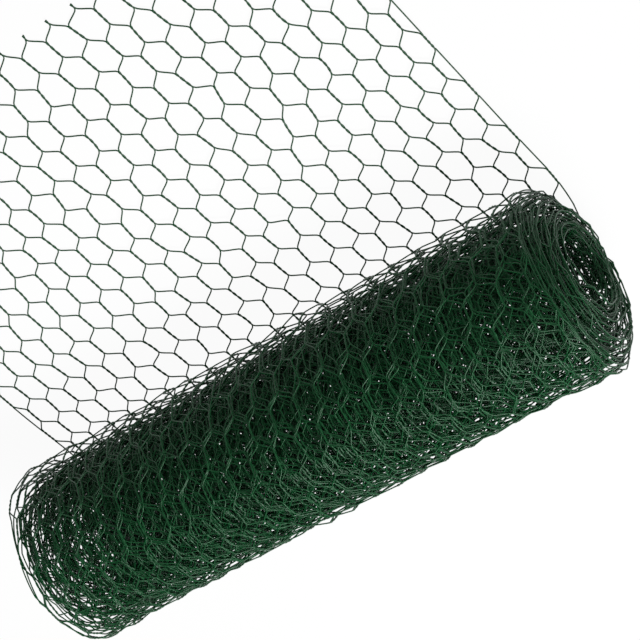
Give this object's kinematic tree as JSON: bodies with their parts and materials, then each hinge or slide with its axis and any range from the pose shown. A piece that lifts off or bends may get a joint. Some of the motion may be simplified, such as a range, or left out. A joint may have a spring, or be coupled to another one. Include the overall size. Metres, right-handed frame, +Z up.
{
  "type": "roll of chicken wire",
  "caption": "Roll of dark green plastic-coated hexagonal wire netting lying on its side, with an open bore and a loose flat leaf ending in cut wire tails.",
  "frame": {"origin": "on the floor, under the middle of the whole part's box", "axes": "+X along the roll's axis, +Y from the roll towards the cut end of the loose leaf, +Z up"},
  "size_m": [0.522, 0.4382, 0.1479],
  "materials": {
    "coated_wire": "satin dark green plastic coating on steel wire"
  },
  "bodies": {
    "root": {"netting_roll": "coated_wire", "loose_leaf": "coated_wire"}
  },
  "joints": []
}
